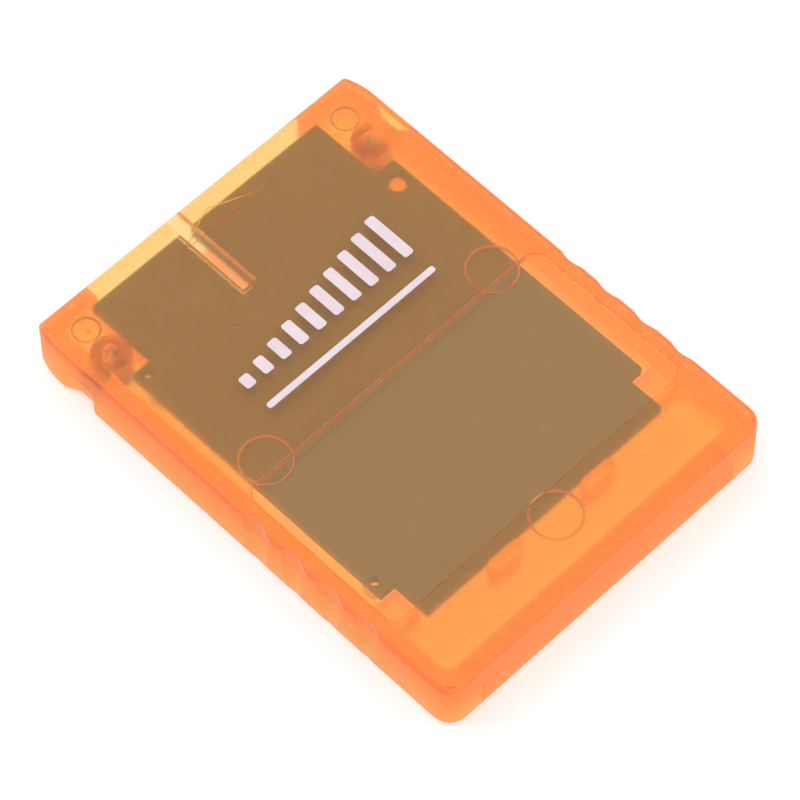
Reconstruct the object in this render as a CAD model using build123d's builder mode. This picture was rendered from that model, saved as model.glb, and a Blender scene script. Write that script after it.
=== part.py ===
from build123d import *
import os

# Console memory card, lying flat with its plain side up. Sizes are in millimetres.
# X runs across the card, +Y points to the connector end and Z is up.
# The origin is on the underside, at the middle of the card.

os.makedirs("parts", exist_ok=True)

# Card outline
card_width = 42.0
card_length = 56.0
card_thickness = 6.5
rear_corner_radius = 2.2
front_corner_radius = 0.4
lead_in_length = 3.4
lead_in_inset = 0.75
top_edge_radius = 0.6
bottom_edge_radius = 0.6

# Covers
parting_height = 3.6
parting_gap = 0.08
top_wall = 1.5
floor_wall = 1.2
side_wall = 2.3
rear_wall = 2.5
front_wall = 1.4
cavity_corner_radius = 1.2

# Rear flap of the top cover
flap_width = 33.0
flap_bottom = 0.8
flap_gap = 0.2

# Grip scallops on both long sides
grip_valleys = 4
grip_spacing = 4.85
grip_setback = 37.85
grip_depth = 0.5
grip_foot_depth = 0.2

# Retention notches in the bottom cover
notch_setback = 4.0
notch_length = 4.1
notch_depth = 0.75
notch_front_slope = 1.4
notch_rear_slope = 0.65
notch_edge_radius = 0.85

# Shallow recess in the top face
recess_setback = 27.25
recess_length = 19.65
recess_side_margin = 1.7
recess_depth = 0.18
recess_slope = 45
recess_corner_radius = 1.5

# Engraved triangle that shows which end goes in
arrow_base_setback = 4.1
arrow_width = 11.4
arrow_height = 2.3
arrow_line = 0.22
arrow_depth = 0.1
arrow_slope = 35

# Moulding marks on the inside of the top wall
mark_depth = 0.15
mark_slope = 45
large_mark_diameter = 5.3
large_mark_inset = 6.0
large_mark_setback = 25.7
rear_mark_setback = 48.9
small_mark_diameter = 2.8
small_mark_gap = 0.12

# Case screws with their bosses and posts
screw_inset = 3.75
screw_setback = 6.9
screw_core_diameter = 1.6
screw_length = 4.2
screw_tip_length = 0.6
screw_head_diameter = 3.2
screw_head_height = 1.0
screw_dome_height = 0.3
screw_dome_inset = 0.5
drive_width = 0.45
drive_length = 1.8
drive_depth = 0.55
boss_diameter = 4.0
boss_gap = 0.02
pilot_gap = 0.05
pilot_end_gap = 0.25
hole_gap = 0.2
head_gap = 0.2
head_sink = 0.25

# Connector mouth
mouth_depth = 10.5
mouth_side_wall = 1.0
mouth_rear_wall = 1.2
tongue_seat = 0.95

# Key groove under the top wall and slot in the board
key_offset = -2.85
key_width = 1.8
key_length = 10.9
key_skin = 0.45

# Circuit board
board_thickness = 1.2
board_clearance = 0.2
board_side_gap = 1.4
board_boss_gap = 0.4
board_front_setback = 1.7
board_shoulder_gap = 1.1
board_rear_setback = 8.4
rear_shoulder_width = 1.8
rear_shoulder_length = 4.3
via_diameter = 1.0
front_via_setback = 0.9
front_via_inset = 1.0
rear_via_setback = 1.4
rear_via_inset = 0.6

# Board seats in the bottom cover
support_diameter = 2.6
support_inset = 1.65
support_setback = 2.2
pin_diameter = 1.6
pin_gap = 0.2
stop_spread = 12.2
stop_length = 4.2
stop_thickness = 1.25
stop_gap = 0.15
block_length = 3.2
block_gap = 0.3
block_rise = 0.5
block_wall_gap = 0.2
seat_drop = 0.2

# Contacts
contact_width = 2.0
contact_thickness = 0.1
contact_front_setback = 0.6
contact_rear_gap = 0.8
contact_edge_margin = 1.5
contact_key_margin = 0.35
contacts_before_key = 3
contacts_after_key = 5

# Flash memory chip
flash_length = 18.4
flash_width = 12.0
flash_height = 1.0
flash_setback = 8.5
flash_lead_count = 24
flash_lead_spacing = 0.5
flash_lead_width = 0.22
flash_lead_reach = 0.8

# Controller chip
controller_side = 10.0
controller_height = 1.4
controller_gap = 3.5
controller_lead_count = 11
controller_lead_spacing = 0.8
controller_lead_width = 0.35
controller_lead_reach = 1.0

# Shared by both chips
chip_standoff = 0.1
chip_edge = 0.18
chip_dimple_diameter = 0.9
chip_dimple_depth = 0.08
chip_dimple_inset = 1.1
lead_thickness = 0.14
lead_foot = 0.5

# Small parts on the board
small_part_length = 1.6
small_part_width = 0.85
capacitor_height = 0.8
resistor_height = 0.45
small_part_edge = 0.1
capacitor_count = 5
resistor_count = 4
small_part_spacing = 2.4
small_part_gap = 2.0

# Levels and places that follow from the sizes above
half_width = card_width / 2
front_y = card_length / 2
rear_y = -card_length / 2
ceiling_z = card_thickness - top_wall
board_top_z = ceiling_z - board_clearance
board_seat_z = board_top_z - board_thickness
rim_z = parting_height + parting_gap
inner_half = half_width - side_wall
cavity_rear_y = rear_y + rear_wall
cavity_front_y = front_y - front_wall
cavity_length = cavity_front_y - cavity_rear_y
cavity_middle_y = (cavity_front_y + cavity_rear_y) / 2
screw_x = half_width - screw_inset
screw_y = front_y - screw_setback
screw_spots = [(-screw_x, screw_y), (screw_x, screw_y)]
tongue_half = screw_x - boss_diameter / 2 - board_boss_gap
mouth_half = tongue_half - tongue_seat
mouth_back_y = front_y - mouth_depth
board_half = inner_half - board_side_gap
board_rear_half = board_half - rear_shoulder_width
board_front_y = front_y - board_front_setback
board_rear_y = rear_y + board_rear_setback
shoulder_y = screw_y - boss_diameter / 2 - board_shoulder_gap
rear_shoulder_y = board_rear_y + rear_shoulder_length
support_x = board_half - support_inset
front_support_y = shoulder_y - support_setback
rear_support_y = rear_shoulder_y + support_setback
key_end_y = front_y - key_length

# Plan outline shared by both covers
with BuildSketch() as card_outline:
    with BuildLine():
        lead_in_start = (half_width, front_y - lead_in_length)
        lead_in_end = (half_width - lead_in_inset, front_y)
        Line((0, rear_y), (half_width, rear_y))
        Line((half_width, rear_y), lead_in_start)
        TangentArc(lead_in_start, lead_in_end, tangent=(0, 1))
        Line(lead_in_end, (0, front_y))
        mirror(about=Plane.YZ)
    make_face()
    for row, corner_radius in ((0, rear_corner_radius), (-1, front_corner_radius)):
        corners = vertices().group_by(Axis.Y)[row].sort_by(Axis.X)
        fillet((corners[0], corners[-1]), corner_radius)

# Tool that cuts the grip scallops, leaning out towards the underside
grip_lean = grip_depth - grip_foot_depth
grip_first_y = front_y - grip_setback + (grip_valleys - 1) * grip_spacing / 2
grip_last_y = grip_first_y - (grip_valleys - 1) * grip_spacing
grip_crest_x = half_width + grip_lean
grip_valley_x = grip_crest_x - grip_depth
grip_middle_x = (grip_crest_x + grip_valley_x) / 2
grip_quarter = grip_spacing / 4
grip_outside_x = half_width + side_wall
grip_plane = Plane((0, 0, 0), x_dir=(card_thickness, 0, grip_lean), z_dir=(-grip_lean, 0, card_thickness))
with BuildPart() as grip_tool:
    with BuildSketch(grip_plane):
        with BuildLine():
            grip_start = (grip_crest_x, grip_first_y + grip_spacing / 2)
            grip_end = (grip_crest_x, grip_last_y - grip_spacing / 2)
            TangentArc(grip_start, (grip_middle_x, grip_first_y + grip_quarter), tangent=(0, -1))
            for turn in range(2 * grip_valleys - 1):
                turn_y = grip_first_y - turn * grip_spacing / 2
                ThreePointArc(
                    (grip_middle_x, turn_y + grip_quarter),
                    (grip_crest_x if turn % 2 else grip_valley_x, turn_y),
                    (grip_middle_x, turn_y - grip_quarter),
                )
            TangentArc(grip_end, (grip_middle_x, grip_last_y - grip_quarter), tangent=(0, 1))
            Polyline(
                grip_end,
                (grip_outside_x, grip_end[1]),
                (grip_outside_x, grip_start[1]),
                grip_start,
            )
        make_face()
    extrude(amount=2 * card_thickness, both=True)
    mirror(about=Plane.YZ)

# Top cover with the rear flap, the screw bosses and the key groove
screw_seat_z = screw_head_height + head_sink
screw_tip_z = screw_seat_z + screw_length
boss_low_z = parting_height + boss_gap
pilot_radius = screw_core_diameter / 2 + pilot_gap
recess_width = card_width - 2 * recess_side_margin
recess_middle_y = front_y - recess_setback - recess_length / 2
with BuildPart() as top_cover:
    with BuildSketch(Plane.XY.offset(rim_z)):
        add(card_outline.sketch)
    extrude(amount=card_thickness - rim_z)
    fillet(faces().sort_by(Axis.Z)[-1].edges(), top_edge_radius)
    add(grip_tool.part, mode=Mode.SUBTRACT)
    with BuildSketch(Plane.XY.offset(flap_bottom)):
        with Locations((0, rear_y)):
            Rectangle(flap_width, rear_wall, align=(Align.CENTER, Align.MIN))
    extrude(amount=rim_z - flap_bottom)
    with BuildSketch(Plane.XY.offset(rim_z)):
        with Locations((0, cavity_middle_y)):
            RectangleRounded(2 * inner_half, cavity_length, cavity_corner_radius)
    extrude(amount=ceiling_z - rim_z, mode=Mode.SUBTRACT)
    with BuildSketch(Plane.XY.offset(rim_z)):
        with Locations((0, front_y)):
            Rectangle(2 * mouth_half, 2 * front_wall)
    extrude(amount=ceiling_z - rim_z, mode=Mode.SUBTRACT)
    with BuildSketch(Plane.XY.offset(boss_low_z)):
        with Locations(*screw_spots):
            Circle(boss_diameter / 2)
    extrude(until=Until.NEXT)
    with BuildSketch(Plane.XY.offset(boss_low_z)):
        with Locations(*screw_spots):
            Circle(pilot_radius)
    extrude(amount=screw_tip_z + pilot_end_gap - boss_low_z, mode=Mode.SUBTRACT)
    with BuildSketch(Plane.XY.offset(ceiling_z)):
        with Locations((key_offset, front_y)):
            Rectangle(key_width, 2 * key_length)
    extrude(amount=top_wall - key_skin, mode=Mode.SUBTRACT)
    with BuildSketch(Plane.XY.offset(ceiling_z)):
        large_mark_x = half_width - large_mark_inset
        with Locations(
            (-large_mark_x, front_y - large_mark_setback),
            (large_mark_x, front_y - large_mark_setback),
            (0, front_y - rear_mark_setback),
        ):
            Circle(large_mark_diameter / 2)
        small_mark_reach = small_mark_diameter / 2 + small_mark_gap
        small_mark_x = inner_half - small_mark_reach
        small_mark_y = screw_y + boss_diameter / 2 + small_mark_reach
        with Locations((-small_mark_x, small_mark_y), (small_mark_x, small_mark_y)):
            Circle(small_mark_diameter / 2)
    extrude(amount=mark_depth, taper=mark_slope, mode=Mode.SUBTRACT)
    with BuildSketch(Plane.XY.offset(card_thickness)):
        with Locations((0, recess_middle_y)):
            RectangleRounded(recess_width, recess_length, recess_corner_radius)
    extrude(amount=-recess_depth, taper=recess_slope, mode=Mode.SUBTRACT)
    with BuildSketch(Plane.XY.offset(card_thickness)):
        with BuildLine():
            arrow_base_y = front_y - arrow_base_setback
            Polyline(
                (-arrow_width / 2, arrow_base_y),
                (arrow_width / 2, arrow_base_y),
                (0, arrow_base_y + arrow_height),
                close=True,
            )
        make_face()
        offset(amount=-arrow_line, mode=Mode.SUBTRACT)
    extrude(amount=-arrow_depth, taper=arrow_slope, mode=Mode.SUBTRACT)
top_cover.part.label = "top_cover"
export_step(top_cover.part, "parts/top_cover.step")

# Outline of the bottom cover, with a soft retention notch in each long side
notch_front_y = front_y - notch_setback
notch_rear_y = notch_front_y - notch_length
with BuildSketch() as notched_outline:
    add(card_outline.sketch)
    with BuildSketch(mode=Mode.PRIVATE) as notches:
        with BuildLine():
            Polyline(
                (half_width, notch_front_y),
                (half_width - notch_depth, notch_front_y - notch_front_slope),
                (half_width - notch_depth, notch_rear_y + notch_rear_slope),
                (half_width, notch_rear_y),
                close=True,
            )
        make_face()
        mirror(about=Plane.YZ)
    add(notches.sketch, mode=Mode.SUBTRACT)
    fillet(vertices(Select.LAST), notch_edge_radius)

# Bottom cover with the connector mouth, the screw posts and the board seats
flap_room_width = flap_width + 2 * flap_gap
support_spots = [
    (x, y) for x in (-support_x, support_x) for y in (rear_support_y, front_support_y)
]
pin_spot = (support_x, front_support_y)
block_inner_x = board_rear_half + block_gap
block_front_y = rear_shoulder_y - block_gap
stop_y = board_rear_y - stop_gap - stop_thickness / 2
with BuildPart() as bottom_cover:
    with BuildSketch():
        add(notched_outline.sketch)
    extrude(amount=parting_height)
    fillet(faces().sort_by(Axis.Z)[0].edges(), bottom_edge_radius)
    add(grip_tool.part, mode=Mode.SUBTRACT)
    with BuildSketch(Plane.XY.offset(floor_wall)):
        with Locations((0, cavity_middle_y)):
            RectangleRounded(2 * inner_half, cavity_length, cavity_corner_radius)
    extrude(amount=parting_height - floor_wall, mode=Mode.SUBTRACT)
    with BuildSketch(Plane.XY.offset(flap_bottom - flap_gap)):
        with Locations((0, rear_y)):
            Rectangle(flap_room_width, 2 * (rear_wall + flap_gap))
    extrude(amount=parting_height, mode=Mode.SUBTRACT)
    with BuildSketch(Plane.XY.offset(floor_wall)):
        with Locations((0, front_y)):
            frame_half = mouth_half + mouth_side_wall
            Rectangle(2 * frame_half, mouth_depth + mouth_rear_wall, align=(Align.CENTER, Align.MAX))
    extrude(amount=board_seat_z - floor_wall)
    with BuildSketch():
        with Locations((0, front_y)):
            Rectangle(2 * mouth_half, 2 * mouth_depth)
    extrude(amount=card_thickness, mode=Mode.SUBTRACT)
    with BuildSketch(Plane.XY.offset(floor_wall)):
        with Locations(*screw_spots):
            Circle(boss_diameter / 2)
    extrude(amount=parting_height - floor_wall)
    with BuildSketch(Plane.XY.offset(floor_wall)):
        with Locations(*support_spots):
            Circle(support_diameter / 2)
    extrude(amount=board_seat_z - floor_wall)
    with BuildSketch(Plane.XY.offset(board_seat_z)):
        with Locations(pin_spot):
            Circle(pin_diameter / 2)
    extrude(amount=board_thickness - seat_drop)
    with BuildSketch(Plane.XY.offset(floor_wall)):
        with Locations((-stop_spread / 2, stop_y), (stop_spread / 2, stop_y)):
            SlotOverall(stop_length, stop_thickness)
    extrude(amount=board_top_z - seat_drop - floor_wall)
    for block_outer_x, block_top_z in (
        (inner_half, parting_height),
        (inner_half - block_wall_gap, board_seat_z + block_rise),
    ):
        block_width = block_outer_x - block_inner_x
        block_x = (block_outer_x + block_inner_x) / 2
        with BuildSketch(Plane.XY.offset(floor_wall)):
            with Locations((-block_x, block_front_y), (block_x, block_front_y)):
                Rectangle(block_width, block_length, align=(Align.CENTER, Align.MAX))
        extrude(amount=block_top_z - floor_wall)
    with Locations(*[Plane((x, y, 0), z_dir=(0, 0, -1)) for x, y in screw_spots]):
        CounterBoreHole(
            radius=screw_core_diameter / 2 + hole_gap,
            counter_bore_radius=screw_head_diameter / 2 + head_gap,
            counter_bore_depth=screw_seat_z,
            depth=parting_height,
        )
bottom_cover.part.label = "bottom_cover"
export_step(bottom_cover.part, "parts/bottom_cover.step")

# Circuit board with its narrow tongue, rear shoulders, key slot and holes
with BuildPart() as circuit_board:
    with BuildSketch(Plane.XY.offset(board_seat_z)):
        with BuildLine():
            Polyline(
                (0, board_front_y),
                (tongue_half, board_front_y),
                (tongue_half, shoulder_y),
                (board_half, shoulder_y),
                (board_half, rear_shoulder_y),
                (board_rear_half, rear_shoulder_y),
                (board_rear_half, board_rear_y),
                (0, board_rear_y),
            )
            mirror(about=Plane.YZ)
        make_face()
        with Locations((key_offset, key_end_y)):
            Rectangle(key_width, key_length, align=(Align.CENTER, Align.MIN), mode=Mode.SUBTRACT)
        with Locations(pin_spot):
            Circle(pin_diameter / 2 + pin_gap, mode=Mode.SUBTRACT)
        with Locations(
            (-board_half + front_via_inset, shoulder_y - front_via_setback),
            (-board_half + rear_via_inset, rear_shoulder_y + rear_via_setback),
        ):
            Circle(via_diameter / 2, mode=Mode.SUBTRACT)
    extrude(amount=board_thickness)
circuit_board.part.label = "circuit_board"
export_step(circuit_board.part, "parts/circuit_board.step")

# Contacts on the underside of the tongue, on both sides of the key slot
contact_front_y = board_front_y - contact_front_setback
contact_length = contact_front_y - mouth_back_y - contact_rear_gap
contact_key_reach = key_width / 2 + contact_key_margin + contact_width / 2
contact_last_x = mouth_half - contact_edge_margin - contact_width / 2
contact_after_x = key_offset + contact_key_reach
contact_spacing = (contact_last_x - contact_after_x) / (contacts_after_key - 1)
contact_before_x = key_offset - contact_key_reach
contact_places = [
    contact_before_x - place * contact_spacing for place in reversed(range(contacts_before_key))
] + [contact_after_x + place * contact_spacing for place in range(contacts_after_key)]
for number, contact_x in enumerate(contact_places, start=1):
    with BuildPart() as contact:
        with BuildSketch(Plane.XY.offset(board_seat_z)):
            with Locations((contact_x, contact_front_y)):
                Rectangle(contact_width, contact_length, align=(Align.CENTER, Align.MAX))
        extrude(amount=-contact_thickness)
    contact.part.label = f"contact_{number}"
    export_step(contact.part, f"parts/contact_{number}.step")

# Places of the two chips, which hang from the underside of the board
flash_y = board_rear_y + flash_setback
controller_y = flash_y + flash_width / 2 + controller_gap + controller_side / 2
chip_plane = Plane((0, 0, board_seat_z), x_dir=(1, 0, 0), z_dir=(0, 0, -1))


def draw_lead(reach: float, body_height: float, body_half: float) -> None:
    """Draw a lead's side view: a leg that slopes from the chip's side to a flat foot on the board.

    Args:
        reach: Distance from the chip's side to the end of the foot.
        body_height: Height of the chip's body.
        body_half: Distance from the chip's middle to the side that the lead leaves.
    """
    middle = chip_standoff + body_height / 2
    knee = body_half + reach - lead_foot
    end = body_half + reach
    half = lead_thickness / 2
    Polyline(
        (body_half, middle + half),
        (knee, lead_thickness),
        (end, lead_thickness),
        (end, 0),
        (knee - lead_thickness, 0),
        (body_half, middle - half),
        close=True,
    )


lead_plane = Plane((0, 0, board_seat_z), x_dir=(1, 0, 0), z_dir=(0, 1, 0))

# Flash memory chip, long across the board
with BuildPart() as flash_memory_chip:
    with BuildSketch(chip_plane.offset(chip_standoff)):
        with Locations((0, -flash_y)):
            Rectangle(flash_length, flash_width)
    extrude(amount=flash_height)
    chamfer(faces().sort_by(Axis.Z)[0].edges(), chip_edge)
    with BuildSketch(chip_plane.offset(chip_standoff + flash_height)):
        with Locations((chip_dimple_inset - flash_length / 2, chip_dimple_inset - flash_width / 2 - flash_y)):
            Circle(chip_dimple_diameter / 2)
    extrude(amount=-chip_dimple_depth, mode=Mode.SUBTRACT)
flash_memory_chip.part.label = "flash_memory_chip"
export_step(flash_memory_chip.part, "parts/flash_memory_chip.step")

# One lead of the flash memory chip, and both rows of them
with BuildPart() as flash_lead:
    with BuildSketch(lead_plane):
        with BuildLine():
            draw_lead(flash_lead_reach, flash_height, flash_length / 2)
        make_face()
    extrude(amount=flash_lead_width / 2, both=True)
with BuildPart() as flash_memory_leads:
    with Locations((0, flash_y)):
        with GridLocations(0, flash_lead_spacing, 1, flash_lead_count):
            add(flash_lead.part)
    mirror(about=Plane.YZ)
flash_memory_leads.part.label = "flash_memory_leads"
export_step(flash_memory_leads.part, "parts/flash_memory_leads.step")

# Controller chip, square with leads on four sides
with BuildPart() as controller_chip:
    with BuildSketch(chip_plane.offset(chip_standoff)):
        with Locations((0, -controller_y)):
            Rectangle(controller_side, controller_side)
    extrude(amount=controller_height)
    chamfer(faces().sort_by(Axis.Z)[0].edges(), chip_edge)
    with BuildSketch(chip_plane.offset(chip_standoff + controller_height)):
        dimple_offset = controller_side / 2 - chip_dimple_inset
        with Locations((-dimple_offset, -dimple_offset - controller_y)):
            Circle(chip_dimple_diameter / 2)
    extrude(amount=-chip_dimple_depth, mode=Mode.SUBTRACT)
controller_chip.part.label = "controller_chip"
export_step(controller_chip.part, "parts/controller_chip.step")

# One lead of the controller chip, one row of them and all four rows
with BuildPart() as controller_lead:
    with BuildSketch(lead_plane):
        with BuildLine():
            draw_lead(controller_lead_reach, controller_height, controller_side / 2)
        make_face()
    extrude(amount=controller_lead_width / 2, both=True)
with BuildPart() as controller_lead_row:
    with GridLocations(0, controller_lead_spacing, 1, controller_lead_count):
        add(controller_lead.part)
with BuildPart() as controller_leads:
    with Locations((0, controller_y)):
        with PolarLocations(0, 4):
            add(controller_lead_row.part)
controller_leads.part.label = "controller_leads"
export_step(controller_leads.part, "parts/controller_leads.step")

# Capacitors beside the controller chip on one side, resistors on the other
small_part_x = controller_side / 2 + controller_lead_reach + small_part_gap
small_part_kinds = (
    ("capacitor", capacitor_count, capacitor_height, small_part_x),
    ("resistor", resistor_count, resistor_height, -small_part_x),
)
for kind, count, height, place_x in small_part_kinds:
    for number in range(1, count + 1):
        place_y = controller_y + (number - (count + 1) / 2) * small_part_spacing
        with BuildPart() as small_part:
            with BuildSketch(chip_plane):
                with Locations((place_x, -place_y)):
                    Rectangle(small_part_length, small_part_width)
            extrude(amount=height)
            chamfer(faces().sort_by(Axis.Z)[0].edges(), small_part_edge)
        small_part.part.label = f"{kind}_{number}"
        export_step(small_part.part, f"parts/{kind}_{number}.step")

# Pan-head case screws, driven from the underside
with BuildPart() as case_screws:
    with BuildSketch(Plane.XY.offset(screw_seat_z)):
        with Locations(*screw_spots):
            Circle(screw_head_diameter / 2)
    extrude(amount=-screw_head_height)
    chamfer(
        faces().group_by(Axis.Z)[0].edges(),
        length=screw_dome_inset,
        length2=screw_dome_height,
    )
    with BuildSketch(Plane.XY.offset(screw_seat_z)):
        with Locations(*screw_spots):
            Circle(screw_core_diameter / 2)
    extrude(amount=screw_length)
    chamfer(
        faces().group_by(Axis.Z)[-1].edges(),
        length=screw_tip_length,
        length2=screw_core_diameter / 4,
    )
    with BuildSketch(Plane.XY.offset(screw_seat_z - screw_head_height)):
        with Locations(*screw_spots):
            Rectangle(drive_length, drive_width)
            Rectangle(drive_width, drive_length)
    extrude(amount=drive_depth, mode=Mode.SUBTRACT)
case_screws.part.label = "case_screws"
export_step(case_screws.part, "parts/case_screws.step")
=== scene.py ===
import logging
from abc import ABC, abstractmethod
from dataclasses import dataclass
from enum import Enum

import bpy
import numpy as np
from mathutils import Matrix


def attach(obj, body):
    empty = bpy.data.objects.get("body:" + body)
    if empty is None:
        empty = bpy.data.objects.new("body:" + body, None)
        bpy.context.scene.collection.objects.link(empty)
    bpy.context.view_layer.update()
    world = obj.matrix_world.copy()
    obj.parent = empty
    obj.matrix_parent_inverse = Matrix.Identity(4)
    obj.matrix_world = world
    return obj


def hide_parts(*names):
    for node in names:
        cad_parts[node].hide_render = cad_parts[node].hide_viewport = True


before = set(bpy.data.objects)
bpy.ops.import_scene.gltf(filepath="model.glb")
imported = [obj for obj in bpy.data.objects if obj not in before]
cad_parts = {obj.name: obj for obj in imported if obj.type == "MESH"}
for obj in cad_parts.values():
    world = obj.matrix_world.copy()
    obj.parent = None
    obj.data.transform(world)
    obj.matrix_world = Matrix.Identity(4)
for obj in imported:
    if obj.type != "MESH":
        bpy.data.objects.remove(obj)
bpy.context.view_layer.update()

# Looks of the translucent memory card. Sizes are in millimetres until a mesh or a node takes them.
# X runs across the card, +Y points to the connector end and Z is up from the underside.

MM = 0.001
Color = tuple[float, float, float]
Point = tuple[float, float, float]
Spot = tuple[float, float]
GRAIN_PATCH = 9.0
GRAIN_WEIGHT = 0.7
GRAIN_RANGE = (0.35, 0.65)
DRIFT_WEIGHT = 0.65
DRIFT_RANGE = (0.3, 0.7)
SPECK_SHARE = 0.06
WAVES_PER_SCALE = 20
SHARP_ANGLE = np.radians(35.0)
TINY = 1e-6
LARGE_MARKS = ((-15.0, 2.3), (15.0, 2.3), (0.0, -20.9))
SMALL_MARKS = ((-17.18, 24.62), (17.18, 24.62))
log = logging.getLogger("memory_card")


class Side(Enum):
    """The two sides of a part along X."""

    LEFT = -1
    RIGHT = 1


class Tree:
    """Adds nodes and links to one node tree."""

    def __init__(self, tree: bpy.types.NodeTree) -> None:
        """Keep the tree that the nodes go into."""
        self.tree = tree

    def add(self, kind: str, **settings: object) -> bpy.types.Node:
        """Add a node and set its properties.

        Args:
            kind: Blender's name of the node type, without the ShaderNode prefix.
            settings: Properties of the node by name.

        Returns:
            The new node.
        """
        node = self.tree.nodes.new("ShaderNode" + kind)
        for name, value in settings.items():
            setattr(node, name, value)
        return node

    def link(self, source: bpy.types.NodeSocket, target: bpy.types.NodeSocket) -> None:
        """Link an output to an input."""
        self.tree.links.new(source, target)

    def feed(self, target: bpy.types.NodeSocket, value: object) -> None:
        """Give an input a link or a plain value.

        Args:
            target: The input socket.
            value: An output socket to link, or a number, vector or colour to set.
        """
        if isinstance(value, bpy.types.NodeSocket):
            self.link(value, target)
        else:
            target.default_value = value

    def math(self, operation: str, first: object, second: object = 0.0) -> bpy.types.NodeSocket:
        """Add a Math node.

        Args:
            operation: Blender's name of the operation.
            first: Socket or number for the first input.
            second: Socket or number for the second input.

        Returns:
            The node's output.
        """
        node = self.add("Math", operation=operation)
        self.feed(node.inputs[0], first)
        self.feed(node.inputs[1], second)
        return node.outputs[0]

    def ramp(self, value: object, low: float, high: float, start: float, end: float) -> bpy.types.NodeSocket:
        """Map a value smoothly from one range to another.

        Args:
            value: Socket or number to map.
            low: Where the input range begins.
            high: Where the input range ends.
            start: Result at and below low.
            end: Result at and above high.

        Returns:
            The mapped value.
        """
        node = self.add("MapRange", interpolation_type="SMOOTHSTEP")
        for socket, entry in zip(node.inputs, (value, low, high, start, end)):
            self.feed(socket, entry)
        return node.outputs[0]

    def axes(self, vector: bpy.types.NodeSocket) -> list[bpy.types.NodeSocket]:
        """Split a vector into its parts.

        Args:
            vector: Socket with the vector.

        Returns:
            Sockets with the parts along X, Y and Z.
        """
        node = self.add("SeparateXYZ")
        self.link(vector, node.inputs[0])
        return list(node.outputs)

    def blend(self, first: object, second: object, weight: float) -> bpy.types.NodeSocket:
        """Add two values, the first times the weight and the second times the rest.

        Args:
            first: Socket or number.
            second: Socket or number.
            weight: Weight of the first value, 0 to 1.

        Returns:
            The weighted sum.
        """
        rest = self.math("MULTIPLY", second, 1.0 - weight)
        return self.math("ADD", self.math("MULTIPLY", first, weight), rest)

    def noise(self, coordinates: bpy.types.NodeSocket, size: object, detail: float) -> bpy.types.NodeSocket:
        """Add a noise whose features have a given size.

        Args:
            coordinates: Socket with the position in metres.
            size: Size of the largest features in millimetres, a socket or a number.
            detail: Octaves of finer noise.

        Returns:
            The noise value, about 0 to 1.
        """
        node = self.add("TexNoise")
        self.link(coordinates, node.inputs["Vector"])
        self.feed(node.inputs["Scale"], self.math("DIVIDE", 1 / MM, size))
        node.inputs["Detail"].default_value = detail
        return node.outputs["Fac"]

    def mix(self, share: object, first: object, second: object) -> bpy.types.NodeSocket:
        """Mix two colours.

        Args:
            share: Socket or number, 0 for the first colour and 1 for the second.
            first: Socket or colour.
            second: Socket or colour.

        Returns:
            The mixed colour.
        """
        node = self.add("Mix", data_type="RGBA")
        self.feed(node.inputs["Factor"], share)
        # A Mix node has its two colours at inputs 6 and 7 and the mixed colour at output 2
        for socket, entry in zip((node.inputs[6], node.inputs[7]), (first, second)):
            self.feed(socket, (*entry, 1.0) if isinstance(entry, tuple) else entry)
        return node.outputs[2]


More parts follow.
